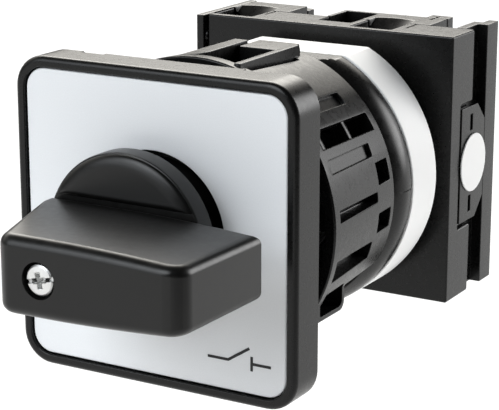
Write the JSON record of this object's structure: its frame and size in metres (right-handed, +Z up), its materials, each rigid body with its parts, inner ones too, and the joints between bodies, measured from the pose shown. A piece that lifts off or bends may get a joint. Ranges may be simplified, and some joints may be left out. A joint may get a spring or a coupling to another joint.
{
  "type": "rotary isolator switch",
  "caption": "Panel-mounted rotary isolator: square front plate with thumb grip, round mounting cup, white indexing drum and a square contact block with screw terminals.",
  "frame": {"origin": "on the switching axis where it crosses the seat plane, the back of the front frame that rests on the panel", "axes": "+Y along the switching axis from the panel into the enclosure, +Z up, +X right as seen from the front"},
  "size_m": [0.0491, 0.0999, 0.0482],
  "materials": {
    "black_plastic": "fine satin moulded thermoplastic",
    "silver_plate": "satin silver printed plate",
    "gasket_rubber": "matt",
    "grey_plastic": "matt",
    "white_plastic": "matt",
    "zinc_steel": "zinc plated",
    "spring_steel": "drawn wire",
    "contact_brass": "satin"
  },
  "bodies": {
    "switch_body": {"front_frame": "black_plastic", "mounting_sleeve": "black_plastic", "mounting_cup": "black_plastic", "adapter_latch": "black_plastic", "flange_ring": "black_plastic", "index_cover": "black_plastic", "front_housing": "black_plastic", "rear_housing": "black_plastic", "rear_cover": "black_plastic", "side_clip": "black_plastic", "side_plate": "black_plastic", "face_plate": "silver_plate", "panel_gasket": "gasket_rubber", "panel_nut": "grey_plastic", "shaft_bearing": "grey_plastic", "separator_plate": "grey_plastic", "index_drum": "white_plastic", "side_marker": "white_plastic", "adapter_screw_left": "zinc_steel", "adapter_screw_right": "zinc_steel", "tie_bolt_left": "zinc_steel", "tie_bolt_right": "zinc_steel", "index_spring_right": "spring_steel", "index_spring_left": "spring_steel", "contact_spring_front_right": "spring_steel", "fixed_contact_front_right_top": "contact_brass", "clamp_washer_front_right_top": "zinc_steel", "terminal_screw_front_right_top": "zinc_steel", "fixed_contact_front_right_bottom": "contact_brass", "clamp_washer_front_right_bottom": "zinc_steel", "terminal_screw_front_right_bottom": "zinc_steel", "contact_spring_front_left": "spring_steel", "fixed_contact_front_left_top": "contact_brass", "clamp_washer_front_left_top": "zinc_steel", "terminal_screw_front_left_top": "zinc_steel", "fixed_contact_front_left_bottom": "contact_brass", "clamp_washer_front_left_bottom": "zinc_steel", "terminal_screw_front_left_bottom": "zinc_steel", "contact_spring_rear_right": "spring_steel", "fixed_contact_rear_right_top": "contact_brass", "clamp_washer_rear_right_top": "zinc_steel", "terminal_screw_rear_right_top": "zinc_steel", "fixed_contact_rear_right_bottom": "contact_brass", "clamp_washer_rear_right_bottom": "zinc_steel", "terminal_screw_rear_right_bottom": "zinc_steel"},
    "rotor": {"handle_knob": "black_plastic", "handle_screw": "zinc_steel", "drive_shaft": "zinc_steel", "index_star": "grey_plastic", "cam_front": "white_plastic", "cam_rear": "white_plastic"},
    "index_slider_right": {"index_slider_right": "white_plastic"},
    "index_slider_left": {"index_slider_left": "white_plastic"},
    "contact_front_right": {"plunger_front_right": "white_plastic", "contact_bridge_front_right": "contact_brass"},
    "contact_front_left": {"plunger_front_left": "white_plastic", "contact_bridge_front_left": "contact_brass"},
    "contact_rear_right": {"plunger_rear_right": "white_plastic", "contact_bridge_rear_right": "contact_brass"}
  },
  "joints": [
    {"name": "handle_turn", "type": "hinge", "parent": "switch_body", "child": "rotor", "pos_m": [0, 0, 0], "axis": [0, -1, 0], "range_deg": [0, 90]},
    {"name": "index_slide_right", "type": "slide", "parent": "switch_body", "child": "index_slider_right", "axis": [-1, 0, 0], "range_m": [0, 0.0011], "stiffness_N_per_m": 300, "springref_m": 0.0011, "deforming": ["index_spring_right"]},
    {"name": "index_slide_left", "type": "slide", "parent": "switch_body", "child": "index_slider_left", "axis": [1, 0, 0], "range_m": [0, 0.0011], "stiffness_N_per_m": 300, "springref_m": 0.0011, "deforming": ["index_spring_left"]},
    {"name": "contact_close_front_right", "type": "slide", "parent": "switch_body", "child": "contact_front_right", "axis": [-1, 0, 0], "range_m": [0, 0.00201], "deforming": ["contact_spring_front_right"]},
    {"name": "contact_close_front_left", "type": "slide", "parent": "switch_body", "child": "contact_front_left", "axis": [1, 0, 0], "range_m": [0, 0.00201], "deforming": ["contact_spring_front_left"]},
    {"name": "contact_close_rear_right", "type": "slide", "parent": "switch_body", "child": "contact_rear_right", "axis": [-1, 0, 0], "range_m": [0, 0.00201], "deforming": ["contact_spring_rear_right"]}
  ],
  "couplings": [
    {"joint": "contact_close_front_right", "follows": "handle_turn", "m_per_rad": 0.0012732},
    {"joint": "contact_close_front_left", "follows": "handle_turn", "m_per_rad": 0.0012732},
    {"joint": "contact_close_rear_right", "follows": "handle_turn", "m_per_rad": 0.0012732}
  ]
}
